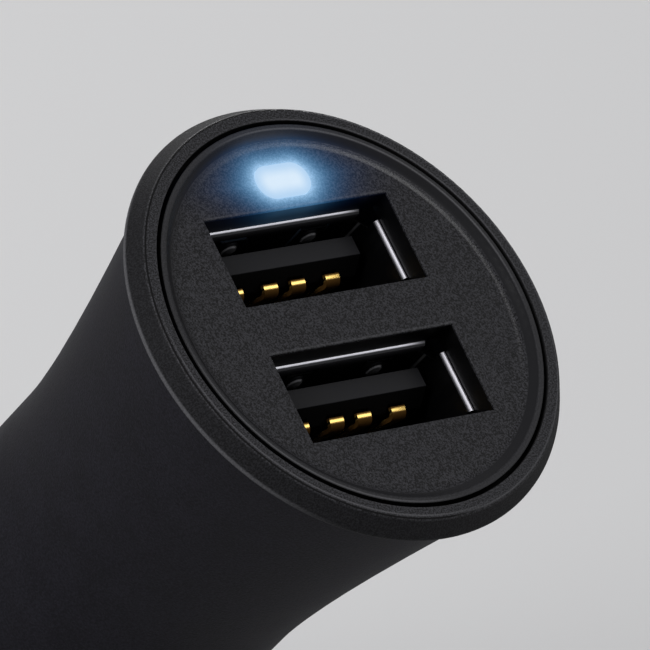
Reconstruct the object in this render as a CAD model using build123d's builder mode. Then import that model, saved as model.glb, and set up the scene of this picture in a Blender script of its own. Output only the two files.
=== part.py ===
from build123d import *
from math import hypot, sqrt
import os

os.makedirs("parts", exist_ok=True)

# Sizes are in millimetres. +Z points out of the vehicle's socket, z = 0 is the top of the barrel's
# guide stretch, and the light window is on the +Y side of the face.

# USB-A sockets, to the standard receptacle's opening and contact pitch
opening_width = 12.5
opening_height = 5.12
shell_gauge = 0.3
shell_corner = 0.8
socket_depth = 10.9
port_pitch = 8.68
lip_corner = 0.95
lip_depth = 1.0
lip_flare = 0.22
lip_flare_depth = 0.15
finger_place = 2.9
finger_width = 1.9
finger_length = 6.0
finger_inset = 0.8
finger_slit = 0.25
dimple_radius = 0.68
dimple_height = 0.3
dimple_inset = 1.9
leg_width = 1.4
leg_proud = 0.9
insert_gap = 0.05
base_thickness = 1.5
tongue_width = 11.1
tongue_top = 1.92
tongue_low = 0.06
tongue_inset = 1.48
lead_in_height = 0.69
lead_in_length = 1.2
contact_places = (-3.5, -1.0, 1.0, 3.5)
contact_width = 1.0
contact_gauge = 0.25
contact_gap = 0.05
contact_bow = 0.5
contact_bow_length = 2.35
contact_bow_inset = 2.4
contact_curl_rise = 0.18
contact_curl_reach = 0.6
contact_bend = 0.35
tail_width = 0.6
tail_proud = 0.9

# Front plate with its windows and its light slot
window_width = 13.22
window_height = 5.55
window_round = 0.06
plate_thickness = 1.55
dish_depth = 0.45
dish_band = 1.05
dish_sweep = 0.65
lip_sweep = 0.3
lip_width = 0.25
lip_round = 0.05
light_width = 3.85
light_height = 2.2
light_end_flat = 0.1
light_offset = 0.645
light_gap = 0.05
face_margin = 2.21
flange_reach = 0.75
flange_thickness = 0.8
guide_inset = 0.25
guide_depth = 2.7

# Bezel ring around the plate
groove_width = 0.22
groove_depth = 1.2
ring_band = 0.76
ring_flare = 0.75
ring_height = 1.6
ring_belly = 0.4
ring_overhang = 0.73
ring_round = 0.3
ring_edge_round = 0.2
ring_inner_round = 0.05
spigot_step = 0.15
spigot_wall = 0.7
spigot_length = 1.3
spigot_gap = 0.1

# Body: barrel for a 12 volt socket, and the flared head above it
barrel_radius = 10.0
barrel_wall = 1.6
guide_length = 8.0
contact_step = 0.2
contact_length = 16.0
barrel_chamfer = 0.15
floor_thickness = 1.2
neck_step = 3.0
neck_length = 5.0
head_height = 22.0
flare_rise = 5.1
socket_gap = 0.2
ledge_width = 1.0
ledge_thickness = 1.2

# Nose cap, centre contact and its spring
nose_inset = 0.2
nose_collar = 1.2
nose_taper = 3.3
nose_wall = 3.3
nose_round = 0.8
thread_gap = 0.1
neck_end_gap = 0.2
tip_radius = 3.4
tip_gap = 0.2
tip_proud = 7.5
tip_round = 2.6
tip_flange_reach = 1.2
tip_flange_thickness = 1.2
tip_side_gap = 0.8
pilot_radius = 2.2
pilot_length = 1.3
coil_radius = 3.0
coil_wire = 0.6
coil_turns = 5.5
coil_seat_gap = 0.05
terminal_radius = 4.2
terminal_thickness = 0.8
fork_width = 3.0
fork_gauge = 0.6
fork_height = 2.5

# Side springs, each a bowed strip on a rolled eye
spring_width = 4.0
spring_gauge = 0.4
spring_gap = 0.15
eye_radius = 0.6
eye_hole = 0.2
knee_reach = 2.3
knee_bend = 5.0
heel_bend = 1.0
spring_end_length = 1.2
spring_side_gap = 0.35
spring_window_round = 0.5
window_top_margin = 1.6
window_bottom_margin = 2.0
spring_end_margin = 0.7
cradle_wall = 0.8
cradle_height = 1.0
lead_radius = 0.35
lead_bend = 0.8
lead_gap = 0.4
lead_place = 5.0
lead_reach = 3.5
lead_rise = 4.6
lead_back = 1.2
lead_swing = 2.4

# Boards and what they carry
board_thickness = 1.2
board_gap = 0.1
hole_gap = 0.12
main_thickness = 1.0
main_edge_gap = 0.6
main_end_gap = 2.8
tab_width = 2.4
led_width = 3.0
led_depth = 1.8
led_height = 2.0
led_gap = 0.1
led_leg = 0.5
led_leg_pitch = 1.8
led_leg_inset = 0.3
inductor_radius = 3.5
inductor_waist = 1.8
inductor_flange = 0.9
inductor_height = 4.0
winding_radius = 3.1
winding_gap = 0.05
inductor_drop = 5.5
input_can_radius = 3.0
output_can_radius = 2.5
can_height = 6.0
can_round = 0.4
input_can_drop = 5.0
output_can_drop = 11.5
chip_length = 4.9
chip_width = 3.9
chip_height = 1.5
chip_standoff = 0.15
chip_drop = 12.5
chip_leg_pitch = 1.27
chip_leg_width = 0.4
chip_leg_gauge = 0.2
chip_leg_reach = 1.05
chip_leg_knee = 0.5
chip_leg_bend = 0.15
chip_leg_count = 4
diode_length = 4.3
diode_width = 3.6
diode_height = 2.2
diode_rise = 8.0
fuse_length = 3.2
fuse_width = 1.6
fuse_height = 0.9
fuse_rise = 8.4
small_length = 1.6
small_width = 0.8
small_height = 0.5
small_pitch = 2.2
small_rows = 2
small_columns = 3
small_rise = 4.9

# Heights
rim_z = head_height
dish_z = rim_z - dish_depth
plate_back_z = dish_z - plate_thickness
ring_back_z = rim_z - ring_height
shelf_z = rim_z - groove_depth
spigot_end_z = ring_back_z - spigot_length
board_top_z = plate_back_z - socket_depth
board_seat_z = board_top_z - board_thickness
base_top_z = board_top_z + base_thickness
tongue_front_z = plate_back_z - tongue_inset
guide_end_z = -guide_length
barrel_end_z = guide_end_z - contact_length
floor_z = barrel_end_z + floor_thickness
neck_end_z = barrel_end_z - neck_length
tip_stop_z = neck_end_z - neck_end_gap
nose_end_z = tip_stop_z - nose_wall
tip_end_z = nose_end_z - tip_proud
tip_flange_z = tip_stop_z + tip_flange_thickness
main_end_z = floor_z + main_end_gap
terminal_z = main_end_z - terminal_thickness

# Radii and places that follow from the sizes above
shell_width = opening_width + 2 * shell_gauge
shell_height = opening_height + 2 * shell_gauge
port_rows = {"upper": port_pitch / 2, "lower": -port_pitch / 2}
corner_x = shell_width / 2 - shell_corner
corner_y = port_pitch / 2 + shell_height / 2 - shell_corner
pocket_radius = hypot(corner_x, corner_y) + shell_corner + socket_gap
ledge_radius = pocket_radius - ledge_width
light_y = port_pitch / 2 + window_height / 2 + light_offset + light_height / 2
light_corner = (light_height - light_end_flat) / 2
plate_radius = light_y + light_height / 2 + face_margin
lip_radius = plate_radius - lip_width
dish_radius = lip_radius - dish_band
ring_inner_radius = plate_radius + groove_width
ring_face_radius = ring_inner_radius + ring_band
ring_radius = ring_face_radius + ring_flare
head_radius = ring_radius - ring_overhang
spigot_radius = plate_radius - spigot_step
spigot_inner_radius = spigot_radius - spigot_wall
boss_radius = spigot_inner_radius - spigot_gap
bore_radius = barrel_radius - barrel_wall
contact_radius = barrel_radius - contact_step
neck_radius = contact_radius - neck_step
nose_radius = contact_radius - nose_inset
nose_end_radius = nose_radius - nose_taper
tip_flange_radius = tip_radius + tip_flange_reach
neck_bore = tip_flange_radius + tip_side_gap
main_half_width = min(bore_radius, ledge_radius) - main_edge_gap
half_main = main_thickness / 2
spring_room = sqrt(bore_radius**2 - (spring_width / 2) ** 2) - spring_gap
eye_x = spring_room - eye_radius
eye_z = floor_z + eye_radius + spring_gap
heel_x = spring_room - spring_gauge / 2
window_top_z = guide_end_z - window_top_margin
window_bottom_z = barrel_end_z + window_bottom_margin
spring_end_z = guide_end_z - spring_end_margin
tail_y = tongue_low + contact_gauge / 2
tail_hole = hypot(tail_width, contact_gauge) / 2 + hole_gap
led_leg_y = light_y - led_leg_inset
leg_x = (shell_width - shell_gauge) / 2
led_top_z = plate_back_z - flange_thickness - guide_depth - led_gap
sides = {"left": -1, "right": 1}


def save(piece, name):
    piece.part.label = name
    export_step(piece.part, f"parts/{name}.step")


# Front plate: dished disc on a thicker boss
with BuildPart() as front_plate:
    with BuildSketch(Plane.XZ):
        with BuildLine():
            Polyline(
                (dish_radius, dish_z),
                (0, dish_z),
                (0, plate_back_z),
                (boss_radius, plate_back_z),
                (boss_radius, shelf_z),
                (plate_radius, shelf_z),
                (plate_radius, rim_z),
                (lip_radius, rim_z),
            )
            Bezier(
                (lip_radius, rim_z),
                (lip_radius - lip_sweep, rim_z),
                (dish_radius + dish_sweep, dish_z),
                (dish_radius, dish_z),
            )
        make_face()
    revolve(axis=Axis.Z)
    rim_edges = front_plate.edges().filter_by(GeomType.CIRCLE).filter_by_position(Axis.Z, rim_z, rim_z)
    fillet(rim_edges.sort_by(SortBy.RADIUS)[-1], lip_round)
    with BuildSketch(Plane.XY.offset(plate_back_z)):
        with Locations(*[(0, row) for row in port_rows.values()]):
            Rectangle(window_width, window_height)
    extrude(amount=plate_thickness, mode=Mode.SUBTRACT)
    window_edges = front_plate.edges().filter_by(GeomType.LINE).filter_by_position(Axis.Z, dish_z, dish_z)
    fillet(window_edges, window_round)
    with BuildSketch(Plane.XY.offset(plate_back_z)):
        with Locations((0, light_y)):
            RectangleRounded(light_width, light_height, light_corner)
    extrude(amount=plate_thickness, mode=Mode.SUBTRACT)
save(front_plate, "front_plate")

# Light window: plug in the slot, ears behind the plate, and a guide down to the lamp
with BuildPart() as light_window:
    plug_width = light_width - 2 * light_gap
    plug_height = light_height - 2 * light_gap
    with BuildSketch(Plane.XY.offset(plate_back_z)):
        with Locations((0, light_y)):
            RectangleRounded(plug_width, plug_height, light_corner - light_gap)
    extrude(amount=plate_thickness)
    with BuildSketch(Plane.XY.offset(plate_back_z - flange_thickness)):
        with Locations((0, light_y)):
            Rectangle(plug_width + 2 * flange_reach, plug_height)
    extrude(amount=flange_thickness)
    with BuildSketch(Plane.XY.offset(plate_back_z - flange_thickness)):
        with Locations((0, light_y)):
            Rectangle(plug_width - 2 * guide_inset, plug_height - 2 * guide_inset)
    extrude(amount=-guide_depth)
save(light_window, "light_window")

# Bezel ring: flared band, shelf under the plate and a spigot inside the body
with BuildPart() as bezel_ring:
    with BuildSketch(Plane.XZ):
        with BuildLine():
            Polyline(
                (spigot_inner_radius, spigot_end_z),
                (spigot_radius, spigot_end_z),
                (spigot_radius, ring_back_z),
                (ring_radius - ring_belly, ring_back_z),
                (ring_radius, ring_back_z + ring_belly),
                (ring_face_radius, rim_z),
                (ring_inner_radius, rim_z),
                (ring_inner_radius, shelf_z),
                (spigot_inner_radius, shelf_z),
                close=True,
            )
        make_face()
    revolve(axis=Axis.Z)
    ring_edges = bezel_ring.edges().filter_by(GeomType.CIRCLE).sort_by(SortBy.RADIUS)
    inner_edge, outer_edge = ring_edges.filter_by_position(Axis.Z, rim_z, rim_z)
    belly_edge = ring_edges[-1]
    fillet(inner_edge, ring_inner_round)
    fillet(outer_edge, ring_edge_round)
    fillet(belly_edge, ring_round)
save(bezel_ring, "bezel_ring")

# Body: flared head, guide stretch, contact stretch and threaded neck in one moulding
with BuildPart() as body_shell:
    with BuildSketch(Plane.XZ):
        with BuildLine():
            Bezier((barrel_radius, 0), (barrel_radius, flare_rise), (head_radius, ring_back_z))
            Polyline(
                (head_radius, ring_back_z),
                (spigot_radius + spigot_gap, ring_back_z),
                (spigot_radius + spigot_gap, spigot_end_z - spigot_gap),
                (spigot_inner_radius + spigot_gap, spigot_end_z - spigot_gap),
                (pocket_radius, board_top_z),
                (pocket_radius, board_seat_z),
                (ledge_radius, board_seat_z),
                (ledge_radius, board_seat_z - ledge_thickness),
                (bore_radius, board_seat_z - ledge_thickness),
                (bore_radius, floor_z),
                (neck_bore, floor_z),
                (neck_bore, neck_end_z),
                (neck_radius, neck_end_z),
                (neck_radius, barrel_end_z),
                (contact_radius - barrel_chamfer, barrel_end_z),
                (contact_radius, barrel_end_z + barrel_chamfer),
                (contact_radius, guide_end_z),
                (barrel_radius, guide_end_z),
                (barrel_radius, 0),
            )
        make_face()
    revolve(axis=Axis.Z)
    with BuildSketch(Plane.YZ):
        with Locations((0, (window_top_z + window_bottom_z) / 2)):
            RectangleRounded(
                spring_width + 2 * spring_side_gap, window_top_z - window_bottom_z, spring_window_round
            )
    extrude(amount=barrel_radius, both=True, mode=Mode.SUBTRACT)
    cradle_x = eye_x - eye_radius - spring_gap - cradle_wall / 2
    with BuildSketch(Plane.XY.offset(floor_z)):
        with Locations((-cradle_x, 0), (cradle_x, 0)):
            Rectangle(cradle_wall, spring_width)
    extrude(amount=cradle_height)
save(body_shell, "body_shell")

# USB sockets
for port, row in port_rows.items():
    # Folded shell: flared lips parted at the corners, dimpled fingers in the long walls, legs in the board
    with BuildPart() as usb_shell:
        with BuildSketch(Plane.XY.offset(board_top_z)):
            with Locations((0, row)):
                RectangleRounded(shell_width, shell_height, shell_corner)
                RectangleRounded(
                    opening_width, opening_height, shell_corner - shell_gauge, mode=Mode.SUBTRACT
                )
        extrude(amount=socket_depth)
        ball_radius = (dimple_radius**2 + dimple_height**2) / (2 * dimple_height)
        ball_y = opening_height / 2 + ball_radius - dimple_height
        with Locations((0, row, plate_back_z - dimple_inset)):
            with GridLocations(2 * finger_place, 2 * ball_y, 2, 2):
                Sphere(ball_radius)
        with BuildSketch(Plane.XY.offset(board_top_z)):
            with Locations((0, row)):
                Rectangle(2 * shell_width, 2 * shell_height)
                RectangleRounded(shell_width, shell_height, shell_corner, mode=Mode.SUBTRACT)
        extrude(amount=socket_depth, mode=Mode.SUBTRACT)
        finger_z = plate_back_z - finger_inset - finger_length / 2
        with BuildSketch(Plane.XZ.offset(-row)):
            with Locations((-finger_place, finger_z), (finger_place, finger_z)):
                Rectangle(finger_width + 2 * finger_slit, finger_length)
            with Locations((-finger_place, finger_z - finger_slit), (finger_place, finger_z - finger_slit)):
                Rectangle(finger_width, finger_length, mode=Mode.SUBTRACT)
        extrude(amount=shell_height, both=True, mode=Mode.SUBTRACT)
        with BuildSketch(Plane.XY.offset(plate_back_z)):
            with Locations((0, row)):
                with GridLocations(shell_width, shell_height, 2, 2):
                    Rectangle(2 * lip_corner, 2 * lip_corner)
        extrude(amount=-lip_depth, mode=Mode.SUBTRACT)
        for along, across in ((Axis.X, Axis.Y), (Axis.Y, Axis.X)):
            for inner in (1, -2):
                lip_faces = usb_shell.faces().filter_by_position(Axis.Z, plate_back_z, plate_back_z)
                lip_edge = lip_faces.edges().filter_by(along).sort_by(across)[inner]
                lip_face = lip_faces.sort_by_distance(lip_edge)[0]
                chamfer(lip_edge, lip_flare, lip_flare_depth, reference=lip_face)
        with BuildSketch(Plane.XY.offset(board_top_z)):
            with Locations((-leg_x, row), (leg_x, row)):
                Rectangle(shell_gauge, leg_width)
        extrude(amount=-(board_thickness + leg_proud))
    save(usb_shell, f"usb_shell_{port}")

    # Insulator: base in the back of the shell, and the tongue with a lead-in over the contacts
    with BuildPart() as usb_insert:
        with BuildSketch(Plane.XY.offset(board_top_z)):
            with Locations((0, row)):
                RectangleRounded(
                    opening_width - 2 * insert_gap,
                    opening_height - 2 * insert_gap,
                    shell_corner - shell_gauge,
                )
        extrude(amount=base_thickness)
        with BuildSketch(Plane.YZ):
            with BuildLine():
                Polyline(
                    (row + tongue_top, board_top_z),
                    (row + tongue_top, tongue_front_z),
                    (row + tongue_low + lead_in_height, tongue_front_z),
                    (row + tongue_low, tongue_front_z - lead_in_length),
                    (row + tongue_low, board_top_z),
                    close=True,
                )
            make_face()
        extrude(amount=tongue_width / 2, both=True)
        with BuildSketch(Plane.XY.offset(board_top_z)):
            with Locations(*[(place, row + tail_y) for place in contact_places]):
                Rectangle(contact_width + 2 * contact_gap, contact_gauge + 2 * contact_gap)
        extrude(amount=socket_depth, mode=Mode.SUBTRACT)
    save(usb_insert, f"usb_insert_{port}")

    # Four contacts: bowed blade under the tongue, and a narrow tail through the board
    bow_z = plate_back_z - contact_bow_inset
    with BuildPart() as usb_contacts:
        for place in contact_places:
            with BuildSketch(Plane.YZ.offset(place)):
                with BuildLine():
                    FilletPolyline(
                        (row + tail_y, base_top_z),
                        (row + tail_y, bow_z - contact_bow_length),
                        (row + tongue_low - contact_bow, bow_z),
                        (row + tongue_low - contact_bow + contact_curl_reach, bow_z + contact_curl_rise),
                        radius=contact_bend,
                    )
                trace(line_width=contact_gauge)
            extrude(amount=contact_width / 2, both=True)
        with BuildSketch(Plane.XY.offset(board_seat_z - tail_proud)):
            with Locations(*[(place, row + tail_y) for place in contact_places]):
                Rectangle(tail_width, contact_gauge)
        extrude(amount=tail_proud + board_thickness + base_thickness)
    save(usb_contacts, f"usb_contacts_{port}")

# Port board, drilled for the sockets' tails and legs, the lamp and the main board's tab
with BuildPart() as port_board:
    with BuildSketch(Plane.XY.offset(board_seat_z)):
        Circle(pocket_radius - board_gap)
        for row in port_rows.values():
            with Locations(*[(place, row + tail_y) for place in contact_places]):
                Circle(tail_hole, mode=Mode.SUBTRACT)
            with Locations((-leg_x, row), (leg_x, row)):
                Rectangle(shell_gauge + 2 * hole_gap, leg_width + 2 * hole_gap, mode=Mode.SUBTRACT)
        with Locations((-led_leg_pitch / 2, led_leg_y), (led_leg_pitch / 2, led_leg_y)):
            Circle(led_leg / sqrt(2) + hole_gap, mode=Mode.SUBTRACT)
        Rectangle(main_thickness + 2 * hole_gap, tab_width + 2 * hole_gap, mode=Mode.SUBTRACT)
    extrude(amount=board_thickness)
save(port_board, "port_board")

# Main board, upright in the barrel
with BuildPart() as main_board:
    with BuildSketch(Plane.YZ):
        with BuildLine():
            Polyline(
                (-main_half_width, main_end_z),
                (main_half_width, main_end_z),
                (main_half_width, board_seat_z),
                (tab_width / 2, board_seat_z),
                (tab_width / 2, board_top_z),
                (-tab_width / 2, board_top_z),
                (-tab_width / 2, board_seat_z),
                (-main_half_width, board_seat_z),
                close=True,
            )
        make_face()
    extrude(amount=half_main, both=True)
save(main_board, "main_board")

# Lamp under the light guide
with BuildPart() as status_led:
    with BuildSketch(Plane.XY.offset(led_top_z)):
        with Locations((0, light_y)):
            Rectangle(led_width, led_depth)
    extrude(amount=-led_height)
save(status_led, "status_led")

with BuildPart() as led_legs:
    with BuildSketch(Plane.XY.offset(led_top_z - led_height)):
        with Locations((-led_leg_pitch / 2, led_leg_y), (led_leg_pitch / 2, led_leg_y)):
            Rectangle(led_leg, led_leg)
    extrude(amount=-(led_top_z - led_height - board_seat_z))
save(led_legs, "led_legs")

# Choke on the right face of the main board
inductor_z = board_seat_z - inductor_drop
with BuildPart() as inductor_core:
    for start, radius, height in (
        (half_main, inductor_radius, inductor_flange),
        (half_main, inductor_waist, inductor_height),
        (half_main + inductor_height - inductor_flange, inductor_radius, inductor_flange),
    ):
        with BuildSketch(Plane.YZ.offset(start)):
            with Locations((0, inductor_z)):
                Circle(radius)
        extrude(amount=height)
save(inductor_core, "inductor_core")

with BuildPart() as inductor_winding:
    with BuildSketch(Plane.YZ.offset(half_main + inductor_flange)):
        with Locations((0, inductor_z)):
            Circle(winding_radius)
            Circle(inductor_waist + winding_gap, mode=Mode.SUBTRACT)
    extrude(amount=inductor_height - 2 * inductor_flange)
save(inductor_winding, "inductor_winding")

# Capacitors on the left face
for name, radius, drop in (
    ("input_capacitor", input_can_radius, input_can_drop),
    ("output_capacitor", output_can_radius, output_can_drop),
):
    with BuildPart() as capacitor:
        with BuildSketch(Plane.YZ.offset(-half_main)):
            with Locations((0, board_seat_z - drop)):
                Circle(radius)
        extrude(amount=-can_height)
        fillet(capacitor.faces().sort_by(Axis.X)[0].edges(), can_round)
    save(capacitor, name)

# Converter chip on the right face, with its two rows of legs
chip_z = board_seat_z - chip_drop
with BuildPart() as controller_chip:
    with BuildSketch(Plane.YZ.offset(half_main + chip_standoff)):
        with Locations((0, chip_z)):
            Rectangle(chip_width, chip_length)
    extrude(amount=chip_height)
save(controller_chip, "controller_chip")

foot_x = half_main + chip_leg_gauge / 2
shoulder_x = half_main + chip_standoff + chip_height / 2
with BuildPart() as chip_legs:
    for step in range(chip_leg_count):
        leg_z = chip_z + (step - (chip_leg_count - 1) / 2) * chip_leg_pitch
        for side in sides.values():
            with BuildSketch(Plane.XY.offset(leg_z)):
                with BuildLine():
                    FilletPolyline(
                        (shoulder_x, side * chip_width / 2),
                        (shoulder_x, side * (chip_width / 2 + chip_leg_knee)),
                        (foot_x, side * (chip_width / 2 + chip_leg_knee)),
                        (foot_x, side * (chip_width / 2 + chip_leg_reach)),
                        radius=chip_leg_bend,
                    )
                trace(line_width=chip_leg_gauge)
            extrude(amount=chip_leg_width / 2, both=True)
save(chip_legs, "chip_legs")

# Rectifier on the left face, fuse and small parts on the right
with BuildPart() as rectifier_diode:
    with BuildSketch(Plane.YZ.offset(-half_main)):
        with Locations((0, main_end_z + diode_rise)):
            Rectangle(diode_width, diode_length)
    extrude(amount=-diode_height)
save(rectifier_diode, "rectifier_diode")

with BuildPart() as board_fuse:
    with BuildSketch(Plane.YZ.offset(half_main)):
        with Locations((0, main_end_z + fuse_rise)):
            Rectangle(fuse_length, fuse_width)
    extrude(amount=fuse_height)
save(board_fuse, "board_fuse")

with BuildPart() as chip_parts:
    with BuildSketch(Plane.YZ.offset(half_main)):
        with Locations((0, main_end_z + small_rise)):
            with GridLocations(small_pitch, small_pitch, small_columns, small_rows):
                Rectangle(small_width, small_length)
    extrude(amount=small_height)
save(chip_parts, "chip_parts")

# Side springs on their rolled eyes, and a lead from each to the main board
for name, side in sides.items():
    knee = (side * (contact_radius + knee_reach), (spring_end_z - spring_end_length + eye_z) / 2)
    heel = (side * heel_x, spring_end_z - spring_end_length)
    with BuildPart() as ground_spring:
        with BuildSketch(Plane.XZ):
            with BuildLine():
                FilletPolyline(
                    (side * eye_x, eye_z),
                    knee,
                    heel,
                    (side * heel_x, spring_end_z),
                    radius=(knee_bend, heel_bend),
                )
            trace(line_width=spring_gauge)
            with Locations((side * eye_x, eye_z)):
                Circle(eye_radius)
                Circle(eye_hole, mode=Mode.SUBTRACT)
        extrude(amount=spring_width / 2, both=True)
    save(ground_spring, f"ground_spring_{name}")

with BuildPart() as ground_leads:
    for side in sides.values():
        solder_z = eye_z + lead_rise
        with BuildLine() as lead_route:
            FilletPolyline(
                (side * half_main, lead_place, solder_z),
                (side * lead_reach, lead_place, solder_z),
                (side * (eye_x - lead_back), spring_width / 2 + lead_swing, eye_z),
                (side * eye_x, spring_width / 2 + lead_gap, eye_z),
                radius=lead_bend,
            )
        with BuildSketch(Plane(origin=lead_route.line @ 0, z_dir=lead_route.line % 0)):
            Circle(lead_radius)
        sweep(path=lead_route.line)
save(ground_leads, "ground_leads")

# Nose cap, screwed over the neck
with BuildPart() as nose_cap:
    with BuildSketch(Plane.XZ):
        with BuildLine():
            Polyline(
                (neck_radius + thread_gap, barrel_end_z),
                (nose_radius, barrel_end_z),
                (nose_radius, barrel_end_z - nose_collar),
                (nose_end_radius, nose_end_z),
                (tip_radius + tip_gap, nose_end_z),
                (tip_radius + tip_gap, tip_stop_z),
                (neck_radius + thread_gap, tip_stop_z),
                close=True,
            )
        make_face()
    revolve(axis=Axis.Z)
    nose_edges = nose_cap.edges().filter_by(GeomType.CIRCLE)
    fillet(nose_edges.filter_by_position(Axis.Z, nose_end_z, nose_end_z).sort_by(SortBy.RADIUS)[-1], nose_round)
save(nose_cap, "nose_cap")

# Centre contact: flanged pin with a rounded end
with BuildPart() as tip_contact:
    with BuildSketch(Plane.XZ):
        with BuildLine():
            Polyline(
                (0, tip_end_z),
                (tip_radius, tip_end_z),
                (tip_radius, tip_stop_z),
                (tip_flange_radius, tip_stop_z),
                (tip_flange_radius, tip_flange_z),
                (pilot_radius, tip_flange_z),
                (pilot_radius, tip_flange_z + pilot_length),
                (0, tip_flange_z + pilot_length),
                close=True,
            )
        make_face()
    revolve(axis=Axis.Z)
    fillet(tip_contact.edges().filter_by_position(Axis.Z, tip_end_z, tip_end_z), tip_round)
save(tip_contact, "tip_contact")

# Coil between the centre contact and its terminal
with BuildPart() as tip_spring:
    coil_start_z = tip_flange_z + coil_wire / 2 + coil_seat_gap
    coil_height = terminal_z - coil_wire / 2 - coil_seat_gap - coil_start_z
    with BuildLine() as coil_line:
        Helix(coil_height / coil_turns, coil_height, coil_radius, center=(0, 0, coil_start_z))
    with BuildSketch(Plane(origin=coil_line.line @ 0, z_dir=coil_line.line % 0)):
        Circle(coil_wire / 2)
    sweep(path=coil_line.line, is_frenet=True)
save(tip_spring, "tip_spring")

# Terminal: seat for the coil, with a fork on the board's end
with BuildPart() as tip_terminal:
    with BuildSketch(Plane.XY.offset(terminal_z)):
        Circle(terminal_radius)
    extrude(amount=terminal_thickness)
    with BuildSketch(Plane.XY.offset(terminal_z)):
        Circle(pilot_radius)
    extrude(amount=-pilot_length)
    fork_x = half_main + fork_gauge / 2
    with BuildSketch(Plane.XY.offset(main_end_z)):
        with Locations((-fork_x, 0), (fork_x, 0)):
            Rectangle(fork_gauge, fork_width)
    extrude(amount=fork_height)
save(tip_terminal, "tip_terminal")
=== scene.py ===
import math
import bpy
from mathutils import Euler, Matrix, Vector


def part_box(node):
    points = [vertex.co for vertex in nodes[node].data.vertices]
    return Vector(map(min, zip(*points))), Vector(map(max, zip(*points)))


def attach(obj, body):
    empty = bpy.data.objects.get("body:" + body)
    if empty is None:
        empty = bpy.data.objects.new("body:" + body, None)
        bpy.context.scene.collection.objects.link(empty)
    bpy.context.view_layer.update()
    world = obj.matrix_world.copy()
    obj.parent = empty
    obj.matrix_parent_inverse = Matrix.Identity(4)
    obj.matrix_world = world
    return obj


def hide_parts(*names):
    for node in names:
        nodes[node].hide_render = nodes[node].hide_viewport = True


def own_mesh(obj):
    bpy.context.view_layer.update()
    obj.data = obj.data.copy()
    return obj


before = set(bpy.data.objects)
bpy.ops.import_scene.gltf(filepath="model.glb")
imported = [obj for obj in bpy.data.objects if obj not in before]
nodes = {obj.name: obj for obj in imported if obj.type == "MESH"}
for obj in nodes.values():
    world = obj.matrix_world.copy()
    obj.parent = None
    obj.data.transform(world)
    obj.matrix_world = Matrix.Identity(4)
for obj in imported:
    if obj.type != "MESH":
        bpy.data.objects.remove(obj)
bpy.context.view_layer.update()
mm = 0.001  # the scene is in metres, sizes below are in millimetres times this
print("frame loaded,", len(nodes), "nodes")

# places taken from the frame
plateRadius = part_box("front_plate")[1].x
ringLow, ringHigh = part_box("bezel_ring")
lightLow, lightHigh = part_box("light_window")
rimZ = ringHigh.z
dishZ = lightHigh.z
upperShellLow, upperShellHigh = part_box("usb_shell_upper")
shellFrontZ = upperShellHigh.z
portPitch = upperShellLow.y + upperShellHigh.y  # the two sockets lie evenly about the axis
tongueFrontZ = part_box("usb_insert_upper")[1].z
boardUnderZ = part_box("port_board")[0].z
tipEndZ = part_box("tip_contact")[0].z

# noise in all finishes
noiseMiddle = 0.5
noiseRoughness = 0.6  # how strongly its finer steps show


def plug(tree, socket, value):
    if isinstance(value, bpy.types.NodeSocket):
        tree.links.new(value, socket)
    else:
        socket.default_value = value


def addNode(tree, kind, settings=None, **sockets):
    node = tree.nodes.new(kind)
    for key, value in (settings or {}).items():
        setattr(node, key, value)
    for key, value in sockets.items():
        plug(tree, node.inputs[key.replace("_", " ")], value)
    return node


def maths(tree, operation, *values):
    node = addNode(tree, "ShaderNodeMath", {"operation": operation})
    for socket, value in zip(node.inputs, values):
        plug(tree, socket, value)
    return node.outputs[0]


def fade(tree, value, start, end, low=0.0, high=1.0):
    node = addNode(tree, "ShaderNodeMapRange", {"interpolation_type": "SMOOTHSTEP"}, Value=value,
                   From_Min=start, From_Max=end, To_Min=low, To_Max=high)
    return node.outputs["Result"]


def between(tree, factor, low, high):
    node = addNode(tree, "ShaderNodeMapRange", Value=factor, To_Min=low, To_Max=high)
    return node.outputs["Result"]


def mixColour(tree, factor, first, second):
    node = addNode(tree, "ShaderNodeMix", {"data_type": "RGBA"})
    plug(tree, node.inputs["Factor"], factor)
    plug(tree, node.inputs[6], first if isinstance(first, bpy.types.NodeSocket) else (*first, 1))
    plug(tree, node.inputs[7], second if isinstance(second, bpy.types.NodeSocket) else (*second, 1))
    return node.outputs[2]


def startFinish(name, look):
    finish = bpy.data.materials.new(name)
    finish.use_nodes = True
    tree = finish.node_tree
    shader = tree.nodes["Principled BSDF"]
    shader.inputs["Metallic"].default_value = look.get("metal", 0.0)
    shader.inputs["Specular IOR Level"].default_value = look.get("gloss", 0.5)
    point = addNode(tree, "ShaderNodeTexCoord").outputs["Object"]
    return finish, tree, shader, point


def noise(tree, point, size, detail=2.0, stretch=None):
    if stretch:
        point = addNode(tree, "ShaderNodeMapping", Vector=point, Scale=stretch).outputs[0]
    node = addNode(tree, "ShaderNodeTexNoise", Vector=point, Scale=1 / size, Detail=detail,
                   Roughness=noiseRoughness)
    return node.outputs["Fac"]


def emboss(tree, shader, height, depth, strength=1.0):
    bump = addNode(tree, "ShaderNodeBump", Strength=strength, Distance=depth, Height=height)
    tree.links.new(bump.outputs[0], shader.inputs["Normal"])


def axisDistance(tree, point):
    flat = addNode(tree, "ShaderNodeVectorMath", {"operation": "MULTIPLY"})
    plug(tree, flat.inputs[0], point)
    flat.inputs[1].default_value = (1, 1, 0)
    length = addNode(tree, "ShaderNodeVectorMath", {"operation": "LENGTH"}, Vector=flat.outputs[0])
    return length.outputs["Value"]


def flatLength(tree, across, along):
    squares = [maths(tree, "POWER", side, 2.0) for side in (across, along)]
    return maths(tree, "SQRT", maths(tree, "ADD", *squares))


# moulded plastic: speckled grain in colour, gloss and relief
plasticSet = {"cloudShare": 0.35, "speckle": (0.3, 0.75)}


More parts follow.
